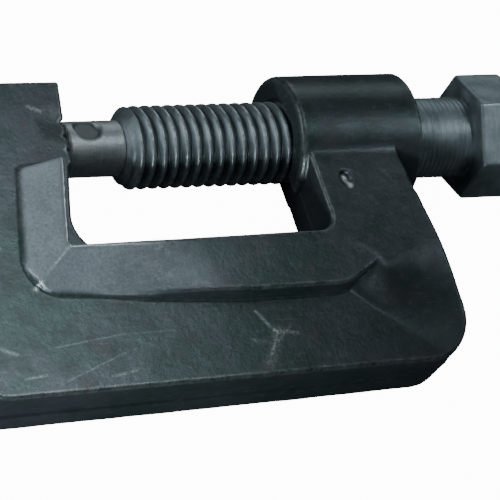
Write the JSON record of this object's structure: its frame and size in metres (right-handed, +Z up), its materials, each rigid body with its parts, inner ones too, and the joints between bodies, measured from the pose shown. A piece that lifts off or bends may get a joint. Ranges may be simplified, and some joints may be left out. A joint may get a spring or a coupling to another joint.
{
  "type": "c clamp",
  "caption": "Drop-forged C clamp with a raised rib around its throat, a coarse threaded screw through a round boss, a hex head and a swivelling pressure nose",
  "frame": {"origin": "on the table, under the middle of the clamp's box in X and Y", "axes": "+Z up from the table; +X along the screw from the fixed jaw to the hex head; +Y from the spine of the C towards the screw. The clamp lies on its back, tipped 7.33 degrees about X, so that the back of the boss and the back edge of the spine both touch the table"},
  "size_m": [0.104, 0.0538, 0.0211],
  "materials": {
    "forged_steel": "black oxide on a drop forging, semi-gloss, lightly scuffed",
    "screw_steel": "blue-grey oxide, oiled, bright on worn thread crests",
    "nose_steel": "turned and hardened, oiled",
    "spring_steel": "bright spring wire",
    "ball_steel": "polished bearing ball"
  },
  "bodies": {
    "frame": {"c_frame": "forged_steel"},
    "nose": {"pressure_nose": "nose_steel", "nose_snap_ring": "spring_steel", "thrust_ball": "ball_steel"},
    "screw": {"clamp_screw": "screw_steel"}
  },
  "joints": [
    {"name": "nose_travel", "type": "slide", "parent": "frame", "child": "nose", "axis": [1, 0, 0], "range_m": [0, 0.02784]},
    {"name": "screw_turn", "type": "hinge", "parent": "nose", "child": "screw", "pos_m": [0.00998, 0.01633, 0.01056], "axis": [1, 0, 0], "range_deg": [0, 5130]}
  ],
  "couplings": [
    {"joint": "screw_turn", "follows": "nose_travel", "rad_per_m": 3215.8}
  ]
}
